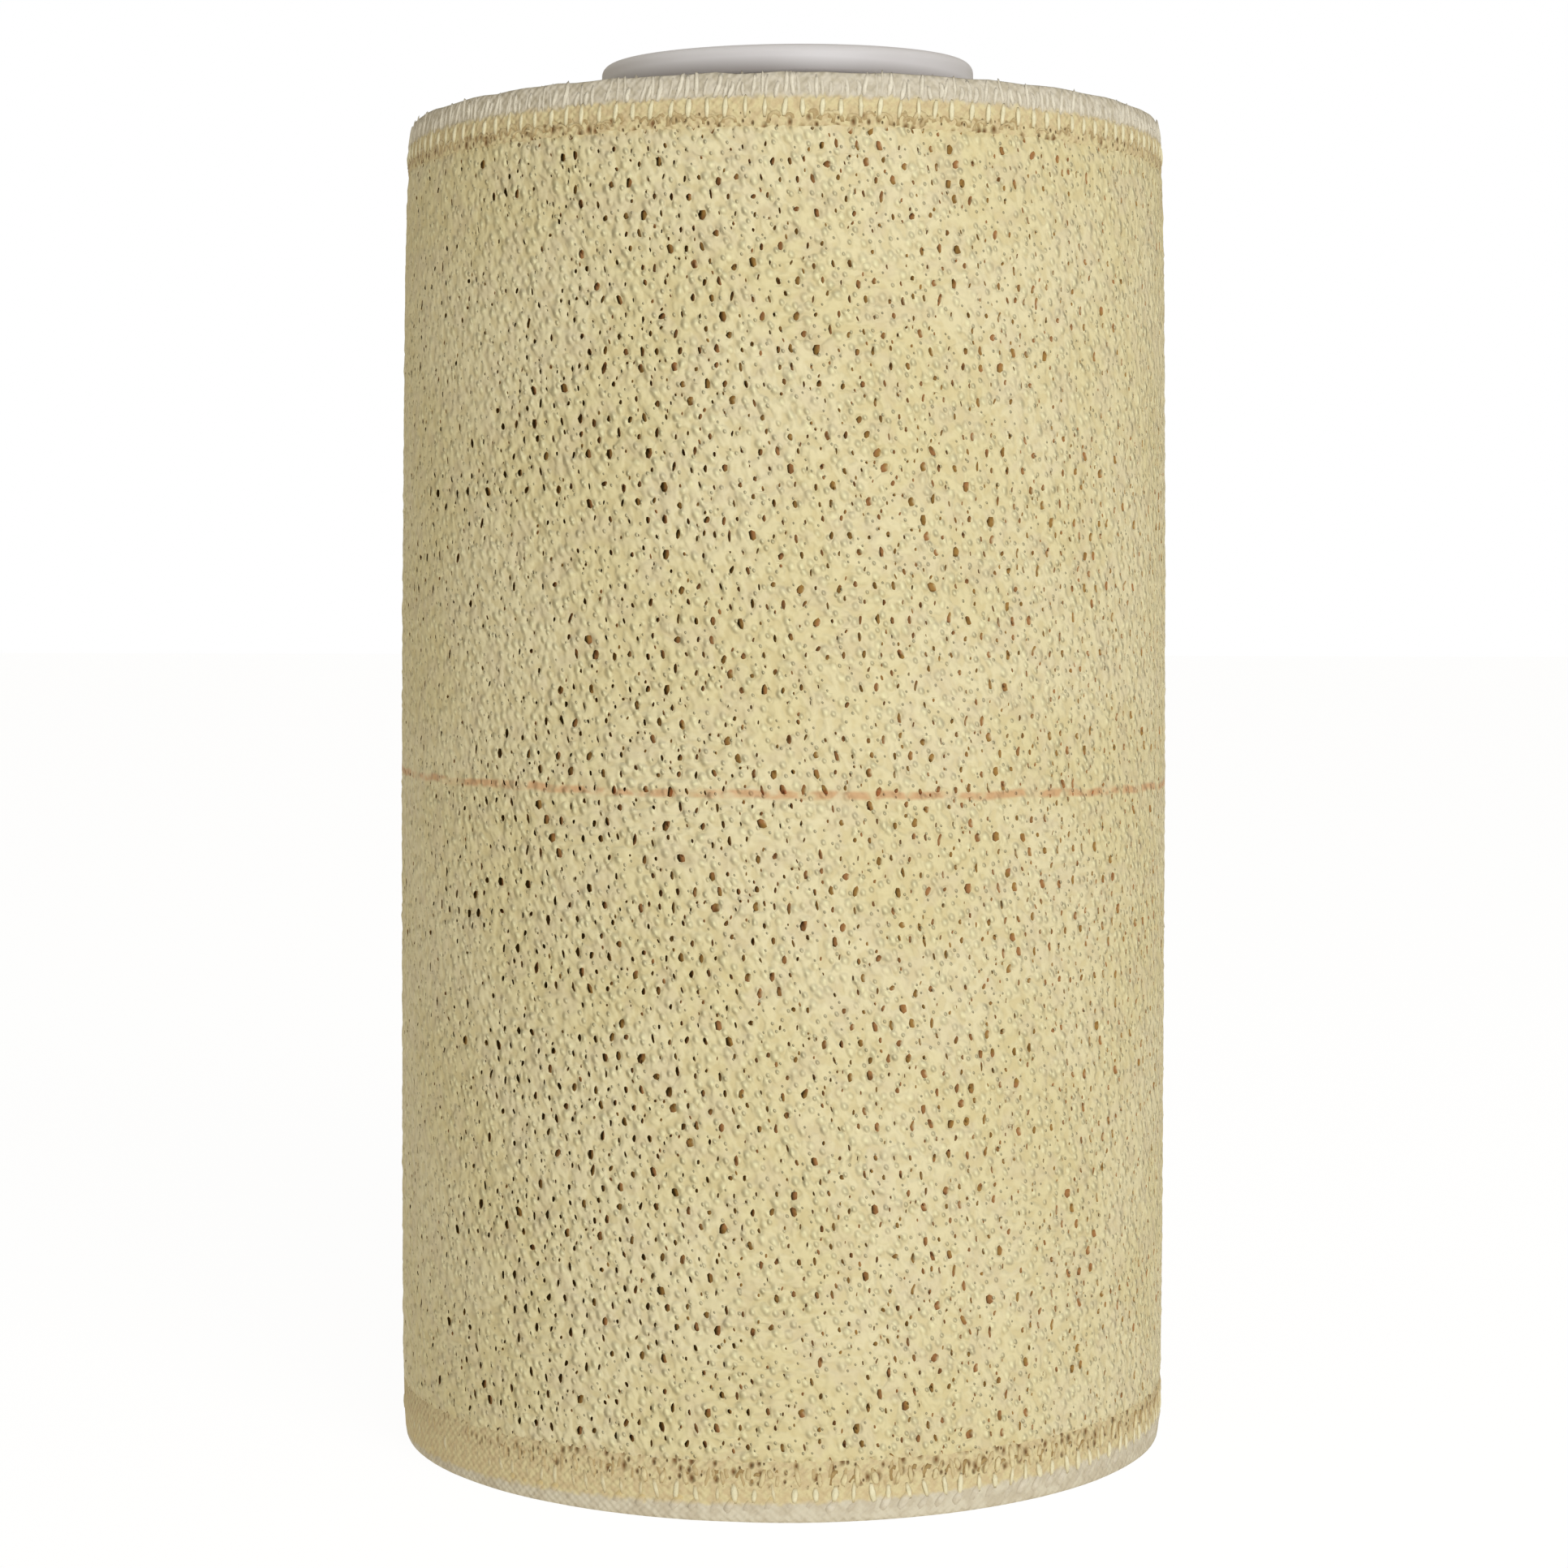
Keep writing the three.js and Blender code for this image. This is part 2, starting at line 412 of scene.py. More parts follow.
def band_gaps(tree, flat, level, rough):
    """Small brown gaps between the stitches, next to the coat, with painted shade darkest in their middle."""
    put = partial(node, tree)
    tall = put(STRETCH, (flat, (1.0, 0.6, 1.0)))
    sides = []
    for foot, full, fades, head in ((95.8, 96.2, 96.9, 97.7), (2.2, 3.0, 4.8, 5.2)):
        above = put(SOFT_RANGE, (level, foot, full))
        below = put(SOFT_RANGE, (level, fades, head, 1.0, 0.0))
        sides.append(put(MULTIPLY, (above, below)))
    near_coat = put(MAXIMUM, (sides[0], sides[1]))
    near_coat = put(MULTIPLY, (near_coat, rough))
    gap = spots(tree, tall, 1.6, 0.2, 0.15, 0.6, near_coat)
    return put(MULTIPLY, (gap, near_coat))


def cloth_material():
    """Crepe cloth of cotton and viscose, woven with twisted elastic yarns and left bare at its edges: tan where
    the adhesive has wicked in, pale and slightly glassy in the woven edge itself."""
    material, tree, shader = new_material("crepe_cloth")
    put = partial(node, tree)
    flat, axes = cloth_place(tree)
    ragged = put(FLAT_NOISE, {"Vector": flat, "Scale": 1.2})
    ragged = put(MULTIPLY_ADD, (ragged, 0.7, -0.35))
    level = put(ADD, (axes[1], ragged))
    wicked = wicked_height(tree, axes[0])

    # At the roll's left the lower band is worn smooth.
    worn = put(SOFT_RANGE, (wicked, 0.5, 1.2, 0.45, 1.0))
    upper_half = put(SOFT_RANGE, (level, 40.0, 60.0))
    rough = put(MAXIMUM, (worn, upper_half))
    gap = band_gaps(tree, flat, level, rough)

    band = layered(tree, "b8a782", (patches(tree, flat, 1.6, 0.35, 0.65, detail=3.0), "c2b68e"))
    upper_margin = layered(tree, "aca492", (patches(tree, flat, 1.4, 0.35, 0.65, detail=3.0), "bcb5a6"))
    lower_margin = layered(tree, "b2a995", (patches(tree, flat, 0.9, 0.35, 0.65), "beb7a4"))
    in_upper_margin = put(SOFT_RANGE, (level, 98.1, 98.55))
    above_wicked = put(SUBTRACT, (level, wicked))
    in_lower_margin = put(SOFT_RANGE, (above_wicked, -0.2, 0.2, 1.0, 0.0))
    finish = layered(tree, band, (in_upper_margin, upper_margin), (in_lower_margin, lower_margin))
    # The gaps are brown, with painted shade making them darkest in their middle.
    finish = layered(tree, finish, (gap, layered(tree, "9a7c48", (gap, "64431f"))))

    # The weave: one warp yarn to half a pore's pitch, and wefts 0.6 mm apart.
    warp = wave(tree, axes[0], PORE_PITCH / 2, -math.pi / 2)
    weft = wave(tree, axes[1], 0.6, -math.pi / 2)
    weave = put(MULTIPLY, (warp, weft))
    above_foot = put(SOFT_RANGE, (level, 1.5, 2.5))
    above_head = put(SOFT_RANGE, (level, 98.0, 98.6))
    in_band = put(SUBTRACT, (above_foot, above_head))
    coarse = put(FLAT_NOISE, {"Vector": flat, "Scale": 1.9, "Detail": 1.0})
    coarseness = put(MULTIPLY_ADD, (in_band, 0.08, 0.1))
    coarseness = put(MULTIPLY, (rough, coarseness))
    height = weighted(tree, (weave, 0.03), (coarse, coarseness), (gap, -0.2))
    fill(tree, shader.inputs, {
        "Base Color": finish,
        "IOR": 1.47,
        "Specular IOR Level": 0.3,
        "Roughness": 0.72,
        "Normal": put("ShaderNodeBump", {"Height": height, "Strength": 1.0, "Distance": MM}),
    })
    return material


def yarn_material(name, dark, light, dip_shade, wicked=None):
    """Cotton and viscose yarn, softly spun: matt, a little downy, uneven along its length, with painted shade
    where it dips into the cloth. It may have another colour where oil has wicked into it at the lower edge."""
    material, tree, shader = new_material(name)
    put = partial(node, tree)
    flat, axes = cloth_place(tree)
    uneven = put(NOISE, {"Vector": flat, "Scale": 1.7, "Detail": 3.0})
    # Painted shade: darker where the yarn dips into the cloth.
    dips = put(RANGE, (axes[2], -0.03, 0.07, 0.7, 0.0))
    finish = layered(tree, dark, (put(RANGE, (uneven, 0.35, 0.65)), light), (dips, dip_shade))
    if wicked:
        above = put(SUBTRACT, (axes[1], wicked_height(tree, axes[0])))
        oiled = put(RANGE, (above, -0.15, 0.35))
        lower_half = put(LESS_THAN, (axes[1], WIDTH / 2))
        finish = layered(tree, finish, (put(MULTIPLY, (oiled, lower_half)), wicked))
    fibres = put(NOISE, {"Vector": flat, "Scale": 9.0})
    fill(tree, shader.inputs, {
        "Base Color": finish,
        "IOR": 1.5,
        "Specular IOR Level": 0.35,
        "Roughness": 0.62,
        "Sheen Weight": 0.15,
        "Normal": put("ShaderNodeBump", {"Height": fibres, "Strength": 0.5, "Distance": 0.1 * MM}),
    })
    return material


def core_material():
    """High-density polyethylene, injection moulded: off-white with a lilac cast, satin, with a faint moulding
    swirl of 11 mm and a skin grain of 0.4 mm."""
    material, tree, shader = new_material("moulded_polyethylene")
    put = partial(node, tree)
    place = put("ShaderNodeTexCoord", out="Object")
    axes = put("ShaderNodeSeparateXYZ", (place,)).node.outputs
    swirl = put(NOISE, {"Vector": place, "Scale": 0.09 / MM, "Detail": 3.0})
    # Painted shade under the lip: a darker band round its underside.
    off_lip_shade = put(SUBTRACT, (axes[2], (WIDTH + 2.5) * MM))
    off_lip_shade = put(ABSOLUTE, (off_lip_shade,))
    lip_shade = put(RANGE, (off_lip_shade, 0.15 * MM, 1.05 * MM, 0.7, 0.0))
    cloudy = put(RANGE, (swirl, 0.3, 0.7))
    skin_grain = put(NOISE, {"Vector": place, "Scale": 2.5 / MM})
    fill(tree, shader.inputs, {
        "Base Color": layered(tree, "c5c2c4", (cloudy, "cccacd"), (lip_shade, "7a726e")),
        "IOR": 1.54,
        "Specular IOR Level": 0.4,
        "Roughness": put(RANGE, (swirl, 0.3, 0.7, 0.4, 0.5)),
        "Subsurface Weight": 0.3,
        "Subsurface Scale": 0.0015,
        "Subsurface Radius": (1.0, 0.95, 0.95),
        "Normal": put("ShaderNodeBump", {"Height": skin_grain, "Strength": 0.3, "Distance": 0.02 * MM}),
    })
    return material


# Geometry Nodes.


def new_tree(name, sockets):
    """A geometry tree with these named inputs, its input sockets and its output node's."""
    tree = bpy.data.node_groups.new(name, "GeometryNodeTree")
    tree.interface.new_socket("Geometry", in_out="INPUT", socket_type="NodeSocketGeometry")
    tree.interface.new_socket("Geometry", in_out="OUTPUT", socket_type="NodeSocketGeometry")
    for label, kind in sockets.items():
        tree.interface.new_socket(label, in_out="INPUT", socket_type="NodeSocket" + kind)
    given = tree.nodes.new("NodeGroupInput").outputs
    result = tree.nodes.new("NodeGroupOutput").inputs
    return tree, given, result


def grown(name, tree, values):
    """The mesh object that a geometry tree makes from these values."""
    seed_mesh = bpy.data.meshes.new(name)
    carrier = bpy.data.objects.new(name + "_tree", seed_mesh)
    bpy.context.scene.collection.objects.link(carrier)
    modifier = carrier.modifiers.new("tree", "NODES")
    modifier.node_group = tree
    for item in tree.interface.items_tree:
        if item.item_type == "SOCKET" and item.in_out == "INPUT" and item.name in values:
            modifier[item.identifier] = values[item.name]
    bpy.context.view_layer.update()
    evaluated = carrier.evaluated_get(bpy.context.evaluated_depsgraph_get())
    mesh = bpy.data.meshes.new_from_object(evaluated)
    bpy.data.objects.remove(carrier)
    mesh.name = name
    made = bpy.data.objects.new(name, mesh)
    bpy.context.scene.collection.objects.link(made)
    return made


def stock(name, shapes):
    """A hidden collection of shapes for a tree to pick from."""
    kept = bpy.data.collections.new(name)
    for shape in shapes:
        bpy.context.scene.collection.objects.unlink(shape)
        kept.objects.link(shape)
    return kept


def tile_places(tree, index, given):
    """Each tile's row, its number and its place. Every other row is half a tile on, and all of them lean."""
    put = partial(node, tree)
    column = put(MODULO, (index, given["Columns"]))
    rows_under = put(FLOOR, (put(DIVIDE, (index, given["Columns"])),))
    row = put(ADD, (rows_under, given["First row"]))
    middle = put(MULTIPLY, (put(ADD, (row, 0.5)), given["Tile height"]))
    odd = put(MODULO, (row, 2.0))
    half_tile = put(MULTIPLY, (given["Tile length"], 0.5))
    brick = put(MULTIPLY, (odd, half_tile))
    quarter_tile = put(MULTIPLY, (given["Tile length"], 0.25))
    lean = put(MODULO, (put(MULTIPLY, (middle, given["Lean"])), quarter_tile))
    start = put(ADD, (brick, lean))
    from_start = put(MULTIPLY, (put(ADD, (column, 0.5)), given["Tile length"]))
    along = put(SUBTRACT, (start, from_start))
    across = put(ADD, (middle, given["Foot"]))
    number = put(MULTIPLY_ADD, (row, given["Columns"], column))
    return row, number, along, put("ShaderNodeCombineXYZ", (along, across))


def coat_openness(tree, row, along, place, chance, seed):
    """How open the coat is at a tile: by a slow noise, by its side of the roll and by chance. It is closed from
    the left round to the back."""
    put = partial(node, tree)
    drawn = put(STRETCH, (place, (0.4, 1.6, 1.0)))
    patch = put(NOISE, {"Vector": drawn, "Scale": 1 / 10, "Detail": 3.0, "Roughness": 0.6})
    patchy = put(RANGE, (patch, 0.34, 0.62, 0.07, 0.87))
    moved = put(ADD, (along, OPEN_PLACE))
    stretch = wave(tree, moved, OUTER_LENGTH)
    most = put(MULTIPLY_ADD, (stretch, 0.2, 0.22))
    left, front = -0.68 * OUTER_LENGTH, -0.56 * OUTER_LENGTH
    closed = put(RANGE, (along, left, front, -0.7, 0.0))
    row_chance = put(RANDOM, {2: -0.14, 3: 0.14, 7: row, 8: seed}, 1)
    by_place = put(ADD, (patchy, closed))
    by_side = put(MULTIPLY_ADD, (stretch, most, chance))
    by_side = put(ADD, (by_side, row_chance))
    return put(ADD, (by_place, by_side))


def coat_tree():
    """Tiles of the coat in brick rows, picked so that its pores are open in some patches and closed in others."""
    tree, given, result = new_tree("coat_rows", {
        "Tiles": "Collection", "Tile count": "Int", "Columns": "Int", "Rows": "Int", "First row": "Int",
        "Tile length": "Float", "Tile height": "Float", "Lean": "Float", "Foot": "Float", "Seed": "Int",
        "Material": "Material",
    })
    put = partial(node, tree)
    index = put("GeometryNodeInputIndex")
    row, number, along, place = tile_places(tree, index, given)
    count = put(MULTIPLY, (given["Columns"], given["Rows"]))
    points = put("GeometryNodePoints", (count, place))

    chance = put(RANDOM, {2: -0.26, 3: 0.26, 7: number, 8: given["Seed"]}, 1)
    openness = coat_openness(tree, row, along, place, chance, given["Seed"])
    # Even where the coat is closed, neighbours are different tiles.
    share = put(RANGE, (openness, 0.1, 1.0, 0.08, 0.91))
    share = put(MULTIPLY_ADD, (chance, 0.3, share))
    tile = put(MULTIPLY, (share, given["Tile count"]))
    tile = put(FLOOR, (tile,))
    tiles = put("GeometryNodeCollectionInfo", (given["Tiles"], True, True))
    rows = put("GeometryNodeInstanceOnPoints", {0: points, 2: tiles, 3: True, 4: tile})
    solid = put("GeometryNodeRealizeInstances", (rows,))
    joined = put("GeometryNodeMergeByDistance", {0: solid, 2: 0.01})
    fill(tree, result, {0: put("GeometryNodeSetMaterial", {0: joined, 2: given["Material"]})})
    return tree


def row_tree():
    """A row of strands, loops or arches along the cloth, each a little different from the next."""
    tree, given, result = new_tree("strand_row", {
        "Shapes": "Collection", "Shape count": "Int", "Count": "Int", "Start": "Float", "Pitch": "Float",
        "Foot": "Float", "Lift": "Float", "Length": "Float", "Thickness": "Float", "Slant": "Float",
        "Slant spread": "Float", "Place spread": "Float", "Size spread": "Float", "Seed": "Int",
        "Material": "Material",
    })
    put = partial(node, tree)
    index = put("GeometryNodeInputIndex")

    def chance(draw, lowest, highest):
        """A random value for each strand, another for each draw."""
        number = put(MULTIPLY_ADD, (index, 8.0, draw))
        return put(RANDOM, {2: lowest, 3: highest, 7: number, 8: given["Seed"]}, 1)

    def varied(middle, size, share, draw):
        """A middle value with a random part, up to this share of a size either way."""
        spread = put(MULTIPLY, (size, share))
        return put(MULTIPLY_ADD, (chance(draw, -1.0, 1.0), spread, middle))

    along = put(MULTIPLY, (index, given["Pitch"]))
    along = put(SUBTRACT, (given["Start"], along))
    foot_spread = put(MULTIPLY, (given["Place spread"], 0.3))
    place = put("ShaderNodeCombineXYZ", {
        0: varied(along, given["Pitch"], given["Place spread"], 0.0),
        1: varied(given["Foot"], given["Length"], foot_spread, 1.0),
        2: given["Lift"],
    })
    points = put("GeometryNodePoints", (given["Count"], place))
    thick = varied(given["Thickness"], given["Thickness"], given["Size spread"], 2.0)
    size = put("ShaderNodeCombineXYZ", {
        0: thick,
        1: varied(given["Length"], given["Length"], given["Size spread"], 3.0),
        2: put(MULTIPLY, (thick, 0.7)),
    })
    turn = put("ShaderNodeCombineXYZ", {2: varied(given["Slant"], given["Slant spread"], 1.0, 4.0)})
    pick = put(MULTIPLY, (chance(5.0, 0.0, 1.0), given["Shape count"]))
    pick = put(FLOOR, (pick,))
    shapes = put("GeometryNodeCollectionInfo", (given["Shapes"], True, True))
    row = put("GeometryNodeInstanceOnPoints", {0: points, 2: shapes, 3: True, 4: pick, 5: turn, 6: size})
    solid = put("GeometryNodeRealizeInstances", (row,))
    fill(tree, result, {0: put("GeometryNodeSetMaterial", {0: solid, 2: given["Material"]})})
    return tree


# The coat.


def following(ring):
    """A ring's points, each replaced by the next."""
    return ring[1:] + ring[:1]


def pore_rim(rng, middle, width, tall, tilt, sides):
    """A pore's rim, counter-clockwise: an uneven ellipse, with the bearing of each point in the upright one."""
    bearings = [2 * math.pi * (k + rng.uniform(-0.2, 0.2)) / sides for k in range(sides)]
    rim = []
    for bearing in bearings:
        swell = rng.uniform(0.83, 1.12)
        x = width / 2 * math.cos(bearing) * swell
        y = tall / 2 * math.sin(bearing) * swell
        turned = (x * math.cos(tilt) - y * math.sin(tilt), x * math.sin(tilt) + y * math.cos(tilt))
        rim.append((middle[0] + turned[0], middle[1] + turned[1]))
    return rim, bearings


def wanted_pores(rng, openness):
    """The middle, width, height and sides of each pore that a tile may have: one to a stitch where the film is
    open, in two rows, and small ones between the rows."""
    wanted = []
    for across, sites in ((-0.5, (-0.75, 0.25)), (0.5, (-0.25, 0.75))):
        for along in sites:
            if rng.uniform() < 0.26 + 0.92 * openness:
                width = math.exp(rng.normal(math.log(0.13 + 0.16 * openness), 0.42))
                width = min(max(width, 0.12), 0.52)
                tall = width * math.exp(rng.normal(math.log(2.3 - 1.8 * width), 0.22))
                tall = min(max(tall, 0.22), 0.95)
                middle = (along * PORE_PITCH + rng.normal(0, 0.18), across * ROW_PITCH + rng.normal(0, 0.11))
                wanted.append((middle, width, tall, 8 if tall > 0.4 else 7 if tall > 0.3 else 6))
    between_rows = ((0.0, (-0.75, -0.25, 0.25, 0.75)), (0.86, (-0.7, -0.2, 0.3)), (-0.86, (-0.3, 0.2, 0.7)))
    for across, sites in between_rows:
        for along in sites:
            if rng.uniform() < 0.05 + 0.16 * openness:
                width = rng.uniform(0.14, 0.24)
                middle = (along * PORE_PITCH + rng.normal(0, 0.13), across * ROW_PITCH + rng.normal(0, 0.09))
                wanted.append((middle, width, width * rng.uniform(1.1, 2.1), 6))
    return wanted


def placed_pores(rng, wanted):
    """The wanted pores that lie inside the tile, apart from each other."""
    half_length, half_height = TILE_LENGTH / 2, TILE_HEIGHT / 2
    pores = []
    for middle, width, tall, sides in wanted:
        room_along = half_length - 0.55 * width - 0.1
        room_across = half_height - 0.56 * tall - 0.06
        middle = (min(max(middle[0], -room_along), room_along), min(max(middle[1], -room_across), room_across))
        rim, bearings = pore_rim(rng, middle, width, tall, rng.normal(0.06, 0.11), sides)
        slid = max(abs(x - ROW_LEAN * y) for x, y in rim)
        inside = slid < half_length - 0.05 and max(abs(y) for x, y in rim) < half_height - 0.05
        size = max(width, tall)
        if inside and all(math.dist(middle, p.middle) > (size + p.size) / 2 + 0.05 for p in pores):
            pores.append(SimpleNamespace(middle=middle, width=width, size=size, rim=rim, bearings=bearings))
    return pores


def tile_border():
    """A tile's border, counter-clockwise: the same on every tile, so that neighbours join."""
    border = [(x / 2, -1) for x in range(-2, 2)] + [(1, -1), (1, 0)]
    border += [(x / 2, 1) for x in range(2, -2, -1)] + [(-1, 1), (-1, 0)]
    half_length, half_height = TILE_LENGTH / 2, TILE_HEIGHT / 2
    return [(x * half_length + ROW_LEAN * y * half_height, y * half_height) for x, y in border]


def tile_film(rng, pores):
    """The film of a tile: its points, its faces and the ring of points round each pore."""
    points = [(*place, 0.0) for place in tile_border()]
    edges = [(k, (k + 1) % len(points)) for k in range(len(points))]
    rings = []
    for pore in pores:
        ring = list(range(len(points), len(points) + len(pore.rim)))
        edges += zip(ring, following(ring))
        points += [(*place, rng.uniform(-0.04, -0.01)) for place in pore.rim]
        rings.append(ring)
    for _ in range(60):
        spot = (rng.uniform(-0.9, 0.9) * TILE_LENGTH / 2, rng.uniform(-0.9, 0.9) * TILE_HEIGHT / 2)
        if min(math.dist(spot, point[:2]) for point in points) > 0.3:
            points.append((*spot, rng.uniform(0.0, 0.05)))
    flat = [Vector(point[:2]) for point in points]
    holes = [set(ring) for ring in rings]
    faces = []
    for corners in delaunay_2d_cdt(flat, edges, [], 0, 1e-6)[2]:
        first, second, third = (flat[k] for k in corners)
        area = (second - first).cross(third - first) / 2
        # Three points of one straight side aren't a face, and a pore's opening isn't film.
        if abs(area) > 1e-4 and not any(set(corners) <= hole for hole in holes):
            faces.append(tuple(corners) if area > 0 else tuple(reversed(corners)))
    return points, faces, rings


def sunk_pore(rng, pore, ring, first):
    """A pore's walls and floor under its ring: points, numbered from the first, faces and each point's painted
    shade.
    The pore leans back: its floor lies under its left edge, so that its right wall is a slope. The painted shade
    is lightest on that slope and darkest, as a shadow, at its left."""
    back = rng.uniform(0.16, 0.42) * pore.width
    lit = rng.uniform(0.82, 1.1)
    shade = {k: lit * (0.68 - 0.3 * math.cos(bearing)) for k, bearing in zip(ring, pore.bearings)}
    if len(ring) < 7:
        shade[first] = 0.92 * lit
        bottom = (pore.middle[0] - back, pore.middle[1], -rng.uniform(0.14, 0.26))
        return [bottom], [(a, b, first) for a, b in zip(ring, following(ring))], shade
    depth = rng.uniform(0.24, 0.33)
    floor = list(range(first, first + len(ring)))
    points = []
    for k, (x, y), bearing in zip(floor, pore.rim, pore.bearings):
        floor_x = pore.middle[0] + (x - pore.middle[0]) * 0.74 - back
        floor_y = pore.middle[1] + (y - pore.middle[1]) * 0.8
        points.append((floor_x, floor_y, -depth * (0.75 - 0.25 * math.cos(bearing))))
        shade[k] = lit * (0.85 - 0.3 * math.cos(bearing))
    corners = zip(ring, following(ring), floor, following(floor))
    return points, [(a, b, d, c) for a, b, c, d in corners] + [tuple(floor)], shade


def coat_tile(name, rng, openness):
    """One tile of the coat: a lumpy film with pores through it. Its painted shade is kept for each corner of a
    face:
    0 on the film, RIM_SHADE at a rim, then from the lit slope at its right to the painted shadow at its left."""
    pores = placed_pores(rng, wanted_pores(rng, openness))
    points, faces, rings = tile_film(rng, pores)
    on_rim = set().union(*rings)
    shade = [RIM_SHADE if k in on_rim else 0.0 for face in faces for k in face]
    sharp = set()
    for pore, ring in zip(pores, rings):
        sharp |= {frozenset(pair) for pair in zip(ring, following(ring))}
        sunk_points, sunk_faces, sunk_shade = sunk_pore(rng, pore, ring, len(points))
        points += sunk_points
        faces += sunk_faces
        shade += [sunk_shade[k] for face in sunk_faces for k in face]
    made = mesh_object(name, points, faces)
    made.data.attributes.new("pore", "FLOAT", "CORNER").data.foreach_set("value", shade)
    marks = [frozenset(edge.vertices) in sharp for edge in made.data.edges]
    made.data.attributes.new("sharp_edge", "BOOLEAN", "EDGE").data.foreach_set("value", marks)
    return made


def cut_and_skirt(mesh, meetings):
    """Cuts a coat piece straight at both ends of the outer turn, and gives it a skirt down into the cloth except
    at the heights where it meets another piece."""
    shell = bmesh.new()
    shell.from_mesh(mesh)
    # One end is just short of the cloth's cut end and the other just under it.
    for place, ahead in ((-0.3, 1), (-OUTER_LENGTH - 3, -1)):
        everything = shell.verts[:] + shell.edges[:] + shell.faces[:]
        plane = {"plane_co": (place, 0, 0), "plane_no": (ahead, 0, 0)}
        bmesh.ops.bisect_plane(shell, geom=everything, clear_outer=True, **plane)
    border = []
    for edge in shell.edges:
        on_meeting = any(all(abs(v.co.y - height) < 0.01 for v in edge.verts) for height in meetings)
        if edge.is_boundary and not on_meeting:
            border.append(edge)
    skirt = bmesh.ops.extrude_edge_only(shell, edges=border)["geom"]
    for part in skirt:
        if isinstance(part, bmesh.types.BMVert):
            part.co.z -= 0.3
    shell.to_mesh(mesh)
    shell.free()


def uneven_coat(flat):
    """The coat's points, moved so that its rows wander and its film swells. Towards its edges it thins out in
    scallops between the stitches and sinks into the cloth."""
    x, y, z = flat.T
    wander_along = 0.2 * drift(x + 0.5 * y, 9.0, 1) + 0.07 * drift(y - 0.6 * x, 5.0, 2)
    wander_across = 0.1 * drift(x - 0.4 * y, 23.0, 3) + 0.05 * drift(y * 0.3 + x, 7.0, 4)
    swell = 0.025 * drift(x + 0.9 * y, 2.9, 5) + 0.025 * drift(x - 1.1 * y, 3.3, 6) - 0.06
    margin = np.minimum(y - COAT_FOOT, COAT_HEAD - y)
    fade = np.clip(1 - margin / 1.3, 0, 1) ** 2
    outward = np.where(y < WIDTH / 2, -1.0, 1.0)
    scallop = outward * fade * (0.22 * np.cos(2 * math.pi * x / PORE_PITCH) + 0.28 * drift(x, 3.1, 8))
    wander_across = wander_across * (1 - fade) + scallop
    return np.column_stack([x + wander_along, y + wander_across, z + swell - 0.13 * fade])


def coat_pieces(material):
    """The coat of the outer turn, in three pieces that meet between rows."""
    rng = np.random.default_rng(11)
    tiles = [coat_tile(f"tile_{k:02d}", rng, k / (TILE_KINDS - 1)) for k in range(TILE_KINDS)]
    kept = stock("coat_tiles", tiles)
    tree = coat_tree()
    pieces = []
    first = 0
    for name, rows in COAT_PIECES.items():
        made = grown(name, tree, {
            "Tiles": kept, "Tile count": TILE_KINDS, "Columns": COAT_COLUMNS, "Rows": rows, "First row": first,
            "Tile length": TILE_LENGTH, "Tile height": TILE_HEIGHT, "Lean": ROW_LEAN, "Foot": COAT_FOOT,
            "Seed": COAT_SEED, "Material": material,
        })
        ends = (COAT_FOOT + row * TILE_HEIGHT for row in (first, first + rows))
        cut_and_skirt(made.data, [height for height in ends if COAT_FOOT + 1 < height < COAT_HEAD - 1])
        set_points(made.data, uneven_coat(points_of(made.data)))
        pieces.append(wind(made))
        first += rows
    bpy.data.collections.remove(kept)
    return pieces


# The cloth.


def cloth_winding(material):
    """The whole strip, from its cut end to the core, as one closed sheet. Its edges are as thick as the coat."""
    section = np.array([
        (0.05, -0.06), (0.4, -0.03), (1.9, -0.03), (4.2, -0.05), (4.9, -0.4), (50.0, -0.4), (95.7, -0.4),
        (96.4, -0.05), (98.4, -0.03), (99.6, -0.03), (99.92, -0.12), (100.0, -0.3), (99.85, -0.5), (99.3, -0.57),
        (50.0, -0.6), (0.5, -0.57), (0.05, -0.5), (0.0, -0.2),
    ])
    stations, count = 2500, len(section)
    turns = np.linspace(0, TURNS, stations)
    along = -cloth_length(turns)
    across = np.repeat(section[None, :, 0], stations, 0)
    out = np.repeat(section[None, :, 1], stations, 0)
    upper = np.clip((across - 96) / 4, 0, 1)
    lower = np.clip((4 - across) / 4, 0, 1)

    # The edges ripple, and further in than the outer turn they rise and sink a little.
    inner = np.clip(turns - 0.95, 0, 0.1) * 10
    ripple = 0.07 * drift(along, 7.0, 22) + 0.03 * drift(along, 2.2, 23)
    upper_rise = (0.16 * drift(along, 260.0, 21) - 0.2) * inner + ripple + 0.03
    lower_rise = 0.18 * (1 + drift(along, 190.0, 24)) * inner + 0.15 * np.abs(ripple)
    across += upper * upper_rise[:, None] + lower * lower_rise[:, None]
    out += (upper + lower) * (0.025 * drift(along, 31.0, 25))[:, None]
    for turn in PARTED_TURNS:
        parted = np.clip(1 - np.abs(turns - turn - 0.5) / 0.5, 0, 1) ** 0.3
        out -= (upper + lower) * np.where(out > -0.3, 0.14, 0.0) * parted[:, None]
    flat = np.column_stack([np.repeat(along, count), across.ravel(), out.ravel()])
    return wind(mesh_object("cloth_winding", flat, skin(stations, count), material))


